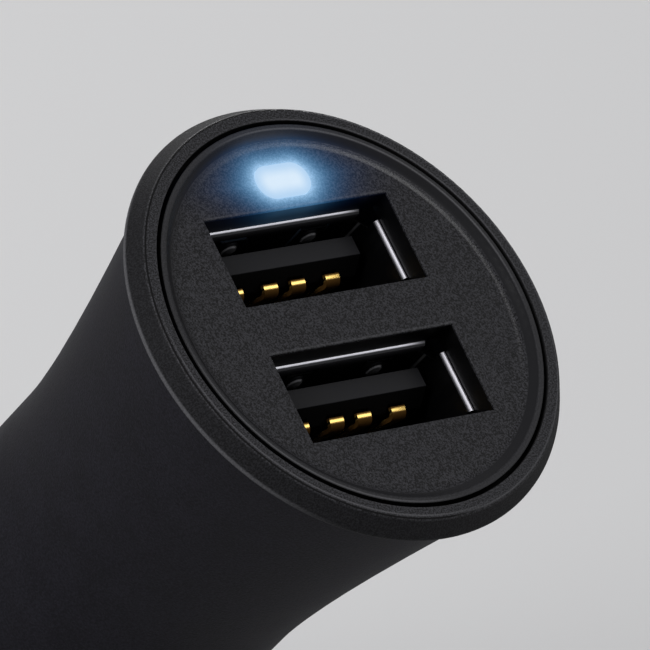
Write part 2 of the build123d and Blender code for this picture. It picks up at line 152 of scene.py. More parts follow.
def plasticFinish(name, look):
    finish, tree, shader, point = startFinish(name, look)
    grain = noise(tree, point, look["grain"])
    cloud = noise(tree, point, look["cloud"])
    uneven = maths(tree, "SUBTRACT", cloud, noiseMiddle)
    clouded = maths(tree, "MULTIPLY_ADD", uneven, plasticSet["cloudShare"], grain)
    speckle = fade(tree, clouded, *plasticSet["speckle"])
    plug(tree, shader.inputs["Base Color"], mixColour(tree, speckle, look["dark"], look["light"]))
    plug(tree, shader.inputs["Roughness"], between(tree, cloud, *look["rough"]))
    emboss(tree, shader, grain, look["relief"])
    return finish


# metal: fine drawn lines along one direction, and a cloudy gloss
metalSet = {"lineDetail": 3.0, "lineStrength": 0.6}


def metalFinish(name, look):
    finish, tree, shader, point = startFinish(name, {"metal": 1.0, **look})
    lines = noise(tree, point, look["line"], metalSet["lineDetail"], look["stretch"])
    cloud = noise(tree, point, look["cloud"])
    plug(tree, shader.inputs["Base Color"], mixColour(tree, lines, look["dark"], look["light"]))
    plug(tree, shader.inputs["Roughness"], between(tree, cloud, *look["rough"]))
    emboss(tree, shader, lines, look["relief"], metalSet["lineStrength"])
    return finish


# 1 on the side of the head at that angle from X, 0 a quarter turn away, -1 opposite
def facing(tree, point, radius, degrees):
    angle = math.radians(degrees)
    along = addNode(tree, "ShaderNodeVectorMath", {"operation": "DOT_PRODUCT"})
    plug(tree, along.inputs[0], point)
    along.inputs[1].default_value = (math.cos(angle), math.sin(angle), 0)
    return maths(tree, "DIVIDE", along.outputs["Value"], radius)


# painted highlights along edges: soft lines round the axis, each strongest on one side of the head
def highlightLines(tree, point, radius, lines):
    total = 0.0
    for line in lines:
        litSide = fade(tree, facing(tree, point, radius, line["toward"]), *line["spread"], *line["paintedHighlight"])
        away = maths(tree, "ABSOLUTE", maths(tree, "SUBTRACT", radius, line["edge"]))
        total = maths(tree, "MULTIPLY_ADD", fade(tree, away, line["half"], 0.0), litSide, total)
    return total


# height above the middle of the nearer socket
def aboveSocket(tree, height):
    return maths(tree, "SUBTRACT", maths(tree, "WRAP", height, portPitch, 0.0), portPitch / 2)


# indicator light: how far a point lies outside its rounded outline, across the face
lightSet = {
    "ear": 0.75 * mm,  # each end of the moulding hides this much behind the plate
    "corner": 1.00 * mm,
    "squeeze": 1.6,  # the glow dies sooner up and down than sideways
    "leastReach": 0.01 * mm,  # keeps a division from running away at the middle
}


def lightDistance(tree, point, squeeze=1.0):
    centre = (lightLow + lightHigh) / 2
    straightX = (lightHigh.x - lightLow.x) / 2 - lightSet["ear"] - lightSet["corner"]
    straightY = (lightHigh.y - lightLow.y) / 2 - lightSet["corner"]
    axes = addNode(tree, "ShaderNodeSeparateXYZ", Vector=point)
    acrossX = maths(tree, "ABSOLUTE", maths(tree, "SUBTRACT", axes.outputs["X"], centre.x))
    acrossY = maths(tree, "ABSOLUTE", maths(tree, "SUBTRACT", axes.outputs["Y"], centre.y))
    overX = maths(tree, "MAXIMUM", maths(tree, "SUBTRACT", acrossX, straightX), 0.0)
    overY = maths(tree, "MAXIMUM", maths(tree, "SUBTRACT", acrossY, straightY), 0.0)
    reach = flatLength(tree, overX, overY)
    upright = maths(tree, "DIVIDE", overY, maths(tree, "MAXIMUM", reach, lightSet["leastReach"]))
    return maths(tree, "MULTIPLY", maths(tree, "SUBTRACT", reach, lightSet["corner"]),
                 between(tree, upright, 1.0, squeeze))


# front plate: grained flat, smooth band round it, painted highlights on the lip, walls painted black as
# shade, and a painted glow round its window
faceSet = {
    "dark": (0.001, 0.001, 0.0016),
    "light": (0.0315, 0.0315, 0.0365),
    "grain": 0.10 * mm,
    "speckle": (0.38, 0.64),
    "relief": 0.035 * mm,
    "rough": (0.56, 0.70),
    "gloss": 0.25,
    "crestRough": 0.29,
    "crestRelief": 0.4,
    "crestLow": 10.86 * mm,
    "crestSide": 46,  # the dish's edge is polished on this side
    "crestSpread": (0.1, 0.6),
    "smoothRough": 0.26,
    "smoothColour": (0.011, 0.011, 0.0126),
    "bandRelief": 0.1,
    "lipColour": (0.0195, 0.0195, 0.0222),
    "lipMix": 0.6,
    "lipShade": 0.35,
    "lipShadeReach": (0.11 * mm, 0.03 * mm),  # painted shade: the lip darkens towards the groove
    # painted shade: walls below the dish and the plate's outer side kept near black
    "wallShadeColour": (0.0005, 0.0005, 0.0006),
    "wallRough": 0.35,
    "wallRelief": 0.05,
    # painted highlights: lines along the lip's edges and the dish's crest, and above each window
    "highlightColour": (0.085, 0.085, 0.092),
    "highlightGrain": (0.3, 1.3),
    "paintedHighlight": (
        {"edge": 11.88 * mm, "half": 0.10 * mm, "toward": 54, "spread": (0.45, 0.85), "paintedHighlight": (0.05, 1.0)},
        {"edge": 12.04 * mm, "half": 0.09 * mm, "toward": 226, "spread": (0.62, 0.95), "paintedHighlight": (0.08, 1.0)},
        {"edge": 11.20 * mm, "half": 0.34 * mm, "toward": 47, "spread": (0.80, 0.97), "paintedHighlight": (0.0, 0.20)},
    ),
    "windowHalf": (6.61 * mm, 2.775 * mm),
    "windowHighlight": 0.40,  # painted highlight: a soft line above each window
    "windowHighlightAway": 0.12 * mm,
    "windowHighlightHalf": 0.10 * mm,
    "bandEdge": 11.26 * mm,
    "lipEdge": 11.73 * mm,
    "lipLean": 0.05 * mm,
    "lipLeanSide": 20,  # painted light: the lip's colour is narrower by its lean on this side, wider on the other
    "softness": 0.12 * mm,
    "wallDepth": 0.10 * mm,
    "wallSkin": 0.05 * mm,
    "glow": (0.345, 0.57, 0.83),
    "glowReach": (0.56 * mm, 0.80 * mm, 1.00 * mm),  # red dies out first, blue last
    "glowGrain": (0.92, 1.08),
    "glowOnBand": 0.25,
    "glowOnWall": (0.34, 0.12),  # at the face, behind it
    "glowDepth": 1.2 * mm,
    "gapReach": 0.25 * mm,  # the slot's own walls are lit this far out
}


# painted highlight: a soft line along the upper edge of each window
def windowHighlight(tree, axes, look):
    edge = look["windowHalf"][1] + look["windowHighlightAway"]
    away = maths(tree, "ABSOLUTE", maths(tree, "SUBTRACT", aboveSocket(tree, axes["Y"]), edge))
    line = fade(tree, away, look["windowHighlightHalf"], 0.0, 0.0, look["windowHighlight"])
    within = maths(tree, "LESS_THAN", maths(tree, "ABSOLUTE", axes["X"]), look["windowHalf"][0])
    counted = maths(tree, "GREATER_THAN", axes["Y"], -portPitch)  # there is no third socket below
    return maths(tree, "MULTIPLY", line, maths(tree, "MULTIPLY", within, counted))


# painted glow: the indicator's light painted onto the face as emission, weaker on the smooth band and on the
# walls
def paintedFaceGlow(tree, shader, point, look, radius, height, inside, speckle):
    away = maths(tree, "MAXIMUM", lightDistance(tree, point, lightSet["squeeze"]), 0.0)
    onWall = fade(tree, height, dishZ, dishZ - look["glowDepth"], *look["glowOnWall"])
    inGap = fade(tree, away, look["gapReach"], 0.0)
    onBand = fade(tree, radius, look["bandEdge"], look["lipEdge"], 1.0, look["glowOnBand"])
    lit = maths(tree, "MAXIMUM", between(tree, inside, 1.0, onWall), inGap)
    lit = maths(tree, "MULTIPLY", lit, onBand)
    level = maths(tree, "MULTIPLY", lit, between(tree, speckle, *look["glowGrain"]))
    shades = []
    for strength, reach in zip(look["glow"], look["glowReach"]):
        fall = maths(tree, "EXPONENT", maths(tree, "MULTIPLY", away, -1 / reach))
        shades.append(maths(tree, "MULTIPLY", maths(tree, "MULTIPLY", fall, strength), level))
    glow = addNode(tree, "ShaderNodeCombineColor", Red=shades[0], Green=shades[1], Blue=shades[2])
    tree.links.new(glow.outputs[0], shader.inputs["Emission Color"])
    shader.inputs["Emission Strength"].default_value = 1.0


def faceFinish(name, look):
    finish, tree, shader, point = startFinish(name, look)
    grain = noise(tree, point, look["grain"])
    speckle = fade(tree, grain, *look["speckle"])
    radius = axisDistance(tree, point)
    axes = addNode(tree, "ShaderNodeSeparateXYZ", Vector=point).outputs
    height = axes["Z"]

    # where each zone lies: lip, smooth band, crest of the dish, walls painted as shade, painted highlight
    # lines
    soft = look["softness"]
    skin = look["wallSkin"]
    lean = facing(tree, point, radius, look["lipLeanSide"])
    lip = fade(tree, maths(tree, "MULTIPLY_ADD", lean, -look["lipLean"], radius), look["lipEdge"],
               look["lipEdge"] + soft)
    band = maths(tree, "MULTIPLY", fade(tree, radius, look["bandEdge"], look["bandEdge"] + soft),
                 maths(tree, "SUBTRACT", 1.0, lip))
    crest = maths(tree, "MULTIPLY", fade(tree, radius, look["crestLow"], look["crestLow"] + soft),
                  fade(tree, radius, look["bandEdge"] + soft, look["bandEdge"]))
    polished = fade(tree, facing(tree, point, radius, look["crestSide"]), *look["crestSpread"])
    crest = maths(tree, "MULTIPLY", crest, polished)
    # painted shade: walls below the dish and the plate's outer side are coloured near black
    inside = fade(tree, height, dishZ - look["wallDepth"], dishZ - 2 * look["wallDepth"])
    outside = maths(tree, "MULTIPLY", fade(tree, radius, plateRadius - skin, plateRadius - skin / 2),
                    fade(tree, height, rimZ, rimZ - skin / 2))
    shadedWall = maths(tree, "MAXIMUM", inside, outside)
    highlight = maths(tree, "ADD", windowHighlight(tree, axes, look), highlightLines(tree, point, radius, look["paintedHighlight"]))
    highlight = maths(tree, "MULTIPLY", highlight, between(tree, grain, *look["highlightGrain"]))
    toGroove = maths(tree, "SUBTRACT", plateRadius, radius)
    shade = fade(tree, toGroove, *look["lipShadeReach"], 0.0, look["lipShade"])

    colour = mixColour(tree, speckle, look["dark"], look["light"])
    colour = mixColour(tree, band, colour, look["smoothColour"])
    colour = mixColour(tree, maths(tree, "MULTIPLY", lip, look["lipMix"]), colour, look["lipColour"])
    colour = mixColour(tree, highlight, colour, look["highlightColour"])
    colour = mixColour(tree, shade, colour, look["wallShadeColour"])
    plug(tree, shader.inputs["Base Color"], mixColour(tree, shadedWall, colour, look["wallShadeColour"]))
    rough = between(tree, crest, between(tree, grain, *look["rough"]), look["crestRough"])
    rough = between(tree, band, rough, look["smoothRough"])
    plug(tree, shader.inputs["Roughness"], between(tree, shadedWall, rough, look["wallRough"]))
    relief = between(tree, band, between(tree, crest, 1.0, look["crestRelief"]), look["bandRelief"])
    relief = between(tree, shadedWall, relief, look["wallRelief"])
    emboss(tree, shader, maths(tree, "MULTIPLY", grain, relief), look["relief"])
    paintedFaceGlow(tree, shader, point, look, radius, height, inside, speckle)
    return finish


# light window: milky, lit from behind, paler in the middle
windowSet = {
    "edge": (0.43, 0.64, 0.88),
    "middle": (0.68, 0.82, 0.955),
    "depth": 0.9 * mm,
    "cloud": 0.9 * mm,
    "cloudShare": 0.12,
    "bodyDark": (0.055, 0.066, 0.078),
    "bodyLight": (0.072, 0.086, 0.101),
    "rough": (0.3, 0.4),
    "gloss": 0.4,
    "power": 0.9,
}


def windowFinish(name, look):
    finish, tree, shader, point = startFinish(name, look)
    cloud = noise(tree, point, look["cloud"])
    inward = fade(tree, lightDistance(tree, point), -look["depth"], 0.0, 1.0, 0.0)
    uneven = maths(tree, "SUBTRACT", cloud, noiseMiddle)
    inward = maths(tree, "MULTIPLY_ADD", uneven, look["cloudShare"], inward)
    plug(tree, shader.inputs["Emission Color"], mixColour(tree, inward, look["edge"], look["middle"]))
    shader.inputs["Emission Strength"].default_value = look["power"]
    plug(tree, shader.inputs["Base Color"], mixColour(tree, cloud, look["bodyDark"], look["bodyLight"]))
    plug(tree, shader.inputs["Roughness"], between(tree, cloud, *look["rough"]))
    return finish


# bezel ring: grained front between painted edge highlights, matt side with a painted shade line at its
# corner, wall painted black as shade in the groove
ringSet = {
    "dark": (0.006, 0.006, 0.0065),
    "light": (0.043, 0.043, 0.049),
    "grain": 0.10 * mm,
    "speckle": (0.38, 0.64),
    "relief": 0.035 * mm,
    "rough": (0.46, 0.60),
    "gloss": 0.14,
    "sideColour": (0.0045, 0.0045, 0.0053),
    "sideSpeck": 0.24,
    "sideRelief": 0.8,
    "sideRough": 0.78,
    "frontDepth": 0.16 * mm,
    "frontFull": 0.032 * mm,  # the grain is whole from this depth up
    # painted highlights: lines along the front's edges and round the skirt
    "highlightColour": (0.085, 0.085, 0.092),
    "highlightGrain": (0.3, 1.3),
    "frontHighlights": (
        {"edge": 12.48 * mm, "half": 0.09 * mm, "toward": 48, "spread": (0.60, 0.95), "paintedHighlight": (0.08, 0.7)},
        {"edge": 12.92 * mm, "half": 0.09 * mm, "toward": 226, "spread": (0.45, 0.90), "paintedHighlight": (0.0, 1.0)},
        {"edge": 13.06 * mm, "half": 0.10 * mm, "toward": 355, "spread": (0.05, 0.30), "paintedHighlight": (0.0, 0.9)},
    ),
    "skirtHighlights": (
        {"edge": 13.82 * mm, "half": 0.07 * mm, "toward": 180, "spread": (0.45, 0.90), "paintedHighlight": (0.0, 1.0)},
    ),
    "cornerDepth": (0.001 * mm, 0.006 * mm, 0.025 * mm, 0.05 * mm),  # painted shade: matt dark line round the outer corner
    "cornerShadeColour": (0.005, 0.005, 0.0055),
    "cornerRough": 0.9,
    "wallEdge": 12.41 * mm,
    "wallSoftness": 0.02 * mm,
    "wallShadeColour": (0.0005, 0.0005, 0.0006),
    "wallRough": 0.8,
}


def ringFinish(name, look):
    finish, tree, shader, point = startFinish(name, look)
    grain = noise(tree, point, look["grain"])
    radius = axisDistance(tree, point)
    height = addNode(tree, "ShaderNodeSeparateXYZ", Vector=point).outputs["Z"]
    front = fade(tree, height, rimZ - look["frontDepth"], rimZ - look["frontFull"])
    # painted shade: the groove's wall coloured near black
    inGroove = fade(tree, radius, look["wallEdge"], look["wallEdge"] - look["wallSoftness"])
    shadedWall = maths(tree, "MULTIPLY", inGroove, fade(tree, height, rimZ, rimZ - look["frontDepth"] / 2))
    highlight = maths(tree, "MULTIPLY_ADD", highlightLines(tree, point, radius, look["frontHighlights"]), front,
                 highlightLines(tree, point, radius, look["skirtHighlights"]))
    highlight = maths(tree, "MULTIPLY", highlight, between(tree, grain, *look["highlightGrain"]))
    speckle = fade(tree, grain, *look["speckle"])
    speck = mixColour(tree, speckle, look["dark"], look["light"])
    sideSpeckle = maths(tree, "MULTIPLY", speckle, look["sideSpeck"])
    side = mixColour(tree, sideSpeckle, look["sideColour"], look["light"])
    depth = maths(tree, "SUBTRACT", rimZ, height)
    # painted shade line round the outer corner
    corner = maths(tree, "MULTIPLY", fade(tree, depth, *look["cornerDepth"][:2]),
                   fade(tree, depth, *look["cornerDepth"][:1:-1]))
    colour = mixColour(tree, corner, mixColour(tree, front, side, speck), look["cornerShadeColour"])
    colour = mixColour(tree, highlight, colour, look["highlightColour"])
    plug(tree, shader.inputs["Base Color"], mixColour(tree, shadedWall, colour, look["wallShadeColour"]))
    rough = between(tree, front, look["sideRough"], between(tree, grain, *look["rough"]))
    rough = between(tree, corner, rough, look["cornerRough"])
    plug(tree, shader.inputs["Roughness"], between(tree, shadedWall, rough, look["wallRough"]))
    relief = between(tree, front, look["sideRelief"], 1.0)
    emboss(tree, shader, maths(tree, "MULTIPLY", grain, relief), look["relief"])
    return finish


# socket shells: sheet darkened as painted shade, bright sheared lips, and painted light near the mouth
# behind them
shellSet = {
    "upperBright": (0.83, 0.83, 0.90),
    "sideBright": (0.72, 0.71, 0.77),
    # painted light near the mouth, fading into the socket
    "rolled": (0.12, 0.12, 0.13),
    "rolledDepth": 1.3 * mm,
    "rolledCurve": 2.0,
    "rolledRough": 0.75,
    # painted highlight along the bent corners
    "bendHighlight": (0.20, 0.20, 0.21),
    "bendMiddle": 8.515 * mm,  # from the socket's middle, across plus up
    "bendHalf": 0.016 * mm,
    # painted light on the dimple's crown, and a painted highlight on its rim
    "dimpleLitColour": (0.075, 0.075, 0.08),
    "dimpleRimHighlight": (0.43, 0.43, 0.45),
    "dimpleRimHalf": 0.10 * mm,
    "dimpleRimLean": 1.0,  # the rim's painted highlight lies on its front, and more on its left than on its right
    "dimplePlace": 2.9 * mm,
    "dimpleInset": 1.9 * mm,
    "dimpleRadius": 0.57 * mm,
    "dimpleFlat": 0.8,  # of that radius, the rest is its edge
    "dimpleRough": 0.9,
    # painted shade: the sheet inside the socket kept dark
    "shadedDark": (0.020, 0.020, 0.023),
    "shadedLight": (0.036, 0.036, 0.040),
    "brightRough": (0.30, 0.50),  # upper lips, side lips
    "dullRough": 0.34,
    "upperLip": 0.09 * mm,
    "sideLip": 0.13 * mm,
    "lipFade": (0.5, 0.15),
    "sideWall": 6.0 * mm,  # beyond this the lips are the ones at the narrow ends
    "line": 0.3 * mm,
    "lineDetail": 3.0,
    "lineStretch": (1.0, 1.0, 0.1),
    "lineRough": 0.08,
    "lineStrength": 0.5,
    "relief": 0.004 * mm,
}


# spring fingers' dimples: painted light on the pressed disc, and a painted highlight on its rim
def dimpleLight(tree, axes, look):
    fingerX = maths(tree, "MULTIPLY", maths(tree, "SIGN", axes["X"]), look["dimplePlace"])
    across = maths(tree, "SUBTRACT", axes["X"], fingerX)
    forward = maths(tree, "SUBTRACT", axes["Z"], shellFrontZ - look["dimpleInset"])
    reach = flatLength(tree, across, forward)
    litDisc = fade(tree, reach, look["dimpleRadius"], look["dimpleRadius"] * look["dimpleFlat"])
    rimMiddle = look["dimpleRadius"] - look["dimpleRimHalf"]
    fromRim = maths(tree, "ABSOLUTE", maths(tree, "SUBTRACT", reach, rimMiddle))
    leaning = maths(tree, "MULTIPLY_ADD", across, -look["dimpleRimLean"], forward)
    rimHighlight = maths(tree, "MULTIPLY", fade(tree, fromRim, look["dimpleRimHalf"], 0.0),
                fade(tree, leaning, 0.0, look["dimpleRadius"] / 2))
    return litDisc, rimHighlight


# painted highlight: a fine line along the bent corners of the sheet
def bendHighlightLine(tree, axes, look):
    outward = maths(tree, "ADD", maths(tree, "ABSOLUTE", axes["X"]),
                    maths(tree, "ABSOLUTE", aboveSocket(tree, axes["Y"])))
    away = maths(tree, "ABSOLUTE", maths(tree, "SUBTRACT", outward, look["bendMiddle"]))
    return fade(tree, away, look["bendHalf"], 0.0)


def shellFinish(name, look):
    finish, tree, shader, point = startFinish(name, {"metal": 1.0})
    lines = noise(tree, point, look["line"], look["lineDetail"], look["lineStretch"])
    axes = addNode(tree, "ShaderNodeSeparateXYZ", Vector=point).outputs
    aside = maths(tree, "GREATER_THAN", maths(tree, "ABSOLUTE", axes["X"]), look["sideWall"])
    depth = maths(tree, "SUBTRACT", shellFrontZ, axes["Z"])
    share = maths(tree, "DIVIDE", depth, between(tree, aside, look["upperLip"], look["sideLip"]))
    sheared = fade(tree, share, 1.0, between(tree, aside, *look["lipFade"]))
    # painted light near the mouth, easing the painted shade deeper in
    rolled = maths(tree, "POWER", fade(tree, depth, look["rolledDepth"], 0.0), look["rolledCurve"])
    rolled = maths(tree, "MULTIPLY", rolled, maths(tree, "SUBTRACT", 1.0, aside))
    bendHighlight = bendHighlightLine(tree, axes, look)
    litDisc, rimHighlight = dimpleLight(tree, axes, look)
    colour = mixColour(tree, lines, look["shadedDark"], look["shadedLight"])
    colour = mixColour(tree, rolled, colour, look["rolled"])
    colour = mixColour(tree, bendHighlight, colour, look["bendHighlight"])
    colour = mixColour(tree, litDisc, colour, look["dimpleLitColour"])
    colour = mixColour(tree, rimHighlight, colour, look["dimpleRimHighlight"])
    bright = mixColour(tree, aside, look["upperBright"], look["sideBright"])
    plug(tree, shader.inputs["Base Color"], mixColour(tree, sheared, colour, bright))
    rough = between(tree, maths(tree, "MAXIMUM", rolled, bendHighlight), look["dullRough"], look["rolledRough"])
    rough = between(tree, litDisc, rough, look["dimpleRough"])
    rough = between(tree, sheared, rough, between(tree, aside, *look["brightRough"]))
    plug(tree, shader.inputs["Roughness"], maths(tree, "MULTIPLY_ADD", lines, look["lineRough"], rough))
    emboss(tree, shader, lines, look["relief"], look["lineStrength"])
    return finish


# socket contacts: gilt, with a painted highlight across the bow and painted shade along the blade
contactSet = {
    "bright": (0.96, 0.66, 0.20),
    "shadedGilt": (0.12, 0.060, 0.016),
    "highlightMiddle": -0.06 * mm,
    "highlightHalf": 0.02 * mm,
    "softness": 0.14 * mm,
    "highlightRough": 0.20,
    "dullRough": 0.72,
    "cloud": 0.3 * mm,
    "cloudRough": 0.06,
    "relief": 0.0005 * mm,
}


def contactFinish(name, look):
    finish, tree, shader, point = startFinish(name, {"metal": 1.0})
    cloud = noise(tree, point, look["cloud"])
    above = aboveSocket(tree, addNode(tree, "ShaderNodeSeparateXYZ", Vector=point).outputs["Y"])
    away = maths(tree, "ABSOLUTE", maths(tree, "SUBTRACT", above, look["highlightMiddle"]))
    # painted highlight band across the bow, painted shade beyond it
    highlightBand = fade(tree, away, look["highlightHalf"] + look["softness"], look["highlightHalf"])
    plug(tree, shader.inputs["Base Color"], mixColour(tree, highlightBand, look["shadedGilt"], look["bright"]))
    rough = between(tree, highlightBand, look["dullRough"], look["highlightRough"])
    plug(tree, shader.inputs["Roughness"], maths(tree, "MULTIPLY_ADD", cloud, look["cloudRough"], rough))
    emboss(tree, shader, cloud, look["relief"])
    return finish


# socket tongues: grey at the front where they meet the light, painted shade making them black further in
tongueSet = {
    "front": (0.0190, 0.0190, 0.0213),
    "deepShade": (0.0015, 0.0015, 0.0017),
    "skin": 0.05 * mm,
    "grain": 0.25 * mm,
    "relief": 0.002 * mm,
    "rough": (0.55, 0.62),
    "gloss": 0.12,
}


def tongueFinish(name, look):
    finish, tree, shader, point = startFinish(name, look)
    grain = noise(tree, point, look["grain"])
    height = addNode(tree, "ShaderNodeSeparateXYZ", Vector=point).outputs["Z"]
    front = fade(tree, height, tongueFrontZ - look["skin"], tongueFrontZ - look["skin"] / 2)
    plug(tree, shader.inputs["Base Color"], mixColour(tree, front, look["deepShade"], look["front"]))
    plug(tree, shader.inputs["Roughness"], between(tree, grain, *look["rough"]))
    emboss(tree, shader, grain, look["relief"])
    return finish


# plain finishes of the other pieces
plasticLooks = {
    "body": {"dark": (0.0047, 0.0045, 0.0064), "light": (0.0111, 0.0107, 0.0151), "grain": 0.13 * mm,
             "cloud": 2.5 * mm, "relief": 0.020 * mm, "rough": (0.60, 0.70), "gloss": 0.08},
    "nose": {"dark": (0.007, 0.007, 0.008), "light": (0.014, 0.014, 0.015), "grain": 0.2 * mm,
             "cloud": 3.0 * mm, "relief": 0.006 * mm, "rough": (0.36, 0.48), "gloss": 0.4},
    "board": {"dark": (0.008, 0.055, 0.022), "light": (0.016, 0.085, 0.034), "grain": 0.4 * mm,
              "cloud": 2.0 * mm, "relief": 0.006 * mm, "rough": (0.3, 0.4), "gloss": 0.5},
    "chip": {"dark": (0.010, 0.010, 0.010), "light": (0.022, 0.022, 0.022), "grain": 0.12 * mm,
             "cloud": 1.0 * mm, "relief": 0.006 * mm, "rough": (0.5, 0.6), "gloss": 0.4},
    "ferrite": {"dark": (0.028, 0.028, 0.031), "light": (0.055, 0.055, 0.06), "grain": 0.18 * mm,
                "cloud": 1.2 * mm, "relief": 0.015 * mm, "rough": (0.55, 0.7), "gloss": 0.4},
    "ceramic": {"dark": (0.30, 0.22, 0.13), "light": (0.42, 0.32, 0.20), "grain": 0.15 * mm,
                "cloud": 0.8 * mm, "relief": 0.006 * mm, "rough": (0.4, 0.5), "gloss": 0.5},
    "sleeve": {"dark": (0.012, 0.012, 0.012), "light": (0.022, 0.022, 0.022), "grain": 0.2 * mm,
               "cloud": 1.0 * mm, "relief": 0.01 * mm, "rough": (0.55, 0.65), "gloss": 0.4},
    "lamp": {"dark": (0.60, 0.66, 0.72), "light": (0.74, 0.79, 0.83), "grain": 0.3 * mm,
             "cloud": 0.8 * mm, "relief": 0.003 * mm, "rough": (0.15, 0.25), "gloss": 0.5},
}
metalLooks = {
    "tip": {"dark": (0.62, 0.60, 0.56), "light": (0.78, 0.76, 0.72), "line": 0.25 * mm,
            "stretch": (0.15, 0.15, 1.0), "cloud": 1.5 * mm, "rough": (0.16, 0.26), "relief": 0.003 * mm},
    "strip": {"dark": (0.55, 0.54, 0.52), "light": (0.74, 0.73, 0.70), "line": 0.2 * mm,
              "stretch": (1.0, 1.0, 0.08), "cloud": 1.8 * mm, "rough": (0.2, 0.32), "relief": 0.004 * mm},
    "wire": {"dark": (0.50, 0.50, 0.50), "light": (0.68, 0.68, 0.67), "line": 0.2 * mm,
             "stretch": (1.0, 1.0, 0.3), "cloud": 1.0 * mm, "rough": (0.22, 0.34), "relief": 0.003 * mm},
    "brass": {"dark": (0.62, 0.45, 0.18), "light": (0.80, 0.62, 0.30), "line": 0.3 * mm,
              "stretch": (1.0, 0.2, 1.0), "cloud": 1.2 * mm, "rough": (0.25, 0.38), "relief": 0.003 * mm},
    "copper": {"dark": (0.42, 0.13, 0.05), "light": (0.62, 0.24, 0.10), "line": 0.15 * mm,
               "stretch": (1.0, 0.3, 0.3), "cloud": 0.7 * mm, "rough": (0.2, 0.3), "relief": 0.002 * mm},
    "can": {"dark": (0.62, 0.62, 0.63), "light": (0.78, 0.78, 0.79), "line": 0.2 * mm,
            "stretch": (0.1, 1.0, 1.0), "cloud": 1.4 * mm, "rough": (0.26, 0.38), "relief": 0.003 * mm},
    "tin": {"dark": (0.60, 0.60, 0.58), "light": (0.76, 0.76, 0.74), "line": 0.15 * mm,
            "stretch": (1.0, 1.0, 0.5), "cloud": 0.5 * mm, "rough": (0.28, 0.4), "relief": 0.003 * mm},
}
plastics = {name: plasticFinish(name + "Plastic", look) for name, look in plasticLooks.items()}
metals = {name: metalFinish(name + "Metal", look) for name, look in metalLooks.items()}
facePlastic = faceFinish("facePlastic", faceSet)
ringPlastic = ringFinish("ringPlastic", ringSet)
windowLens = windowFinish("windowLens", windowSet)
shellSheet = shellFinish("shellSheet", shellSet)
tonguePlastic = tongueFinish("tonguePlastic", tongueSet)
contactGilt = contactFinish("contactGilt", contactSet)
finishOf = {
    "front_plate": facePlastic, "light_window": windowLens, "bezel_ring": ringPlastic,
    "body_shell": plastics["body"], "nose_cap": plastics["nose"], "tip_contact": metals["tip"],
    "tip_spring": metals["wire"], "tip_terminal": metals["brass"],
    "ground_spring_left": metals["strip"], "ground_spring_right": metals["strip"],
    "ground_leads": plastics["sleeve"],
    "usb_shell_upper": shellSheet, "usb_shell_lower": shellSheet,
    "usb_insert_upper": tonguePlastic, "usb_insert_lower": tonguePlastic,
    "usb_contacts_upper": contactGilt, "usb_contacts_lower": contactGilt,
    "port_board": plastics["board"], "main_board": plastics["board"],
    "status_led": plastics["lamp"], "led_legs": metals["tin"],
    "inductor_core": plastics["ferrite"], "inductor_winding": metals["copper"],
    "input_capacitor": metals["can"], "output_capacitor": metals["can"],
    "controller_chip": plastics["chip"], "chip_legs": metals["tin"], "rectifier_diode": plastics["chip"],
    "board_fuse": plastics["ceramic"], "chip_parts": plastics["ceramic"],
}
for name, finish in finishOf.items():
    nodes[name].data.materials.clear()
    nodes[name].data.materials.append(finish)
print("finishes on", len(finishOf), "nodes")


# node trees: a named input for each size, loose points in, one painted mesh out
def startTree(name, sizes):
    tree = bpy.data.node_groups.new(name, "GeometryNodeTree")
    for label, kind in {"Geometry": "Geometry", **sizes, "Finish": "Material"}.items():
        tree.interface.new_socket(label, in_out="INPUT", socket_type="NodeSocket" + kind)
    tree.interface.new_socket("Geometry", in_out="OUTPUT", socket_type="NodeSocketGeometry")
    return tree, addNode(tree, "NodeGroupInput").outputs


def endTree(tree, geometry, finish):
    smooth = addNode(tree, "GeometryNodeSetShadeSmooth", Geometry=geometry)
    plain = addNode(tree, "GeometryNodeRealizeInstances", Geometry=smooth.outputs[0])
    painted = addNode(tree, "GeometryNodeSetMaterial", Geometry=plain.outputs[0], Material=finish)
    addNode(tree, "NodeGroupOutput", Geometry=painted.outputs[0])


def growPiece(tree, name, sizes, points=()):
    seedMesh = bpy.data.meshes.new(name + "Points")
    seedMesh.from_pydata(points, [], [])
    seed = bpy.data.objects.new(name + "Points", seedMesh)
    bpy.context.scene.collection.objects.link(seed)
    modifier = seed.modifiers.new("grow", "NODES")
    modifier.node_group = tree
    for socket in tree.interface.items_tree:
        if socket.in_out == "INPUT" and socket.name in sizes:
            modifier[socket.identifier] = sizes[socket.name]
    mesh = bpy.data.meshes.new_from_object(seed.evaluated_get(bpy.context.evaluated_depsgraph_get()))
    mesh.name = name
    bpy.data.objects.remove(seed)
    piece = bpy.data.objects.new(name, mesh)
    bpy.context.scene.collection.objects.link(piece)
    return piece


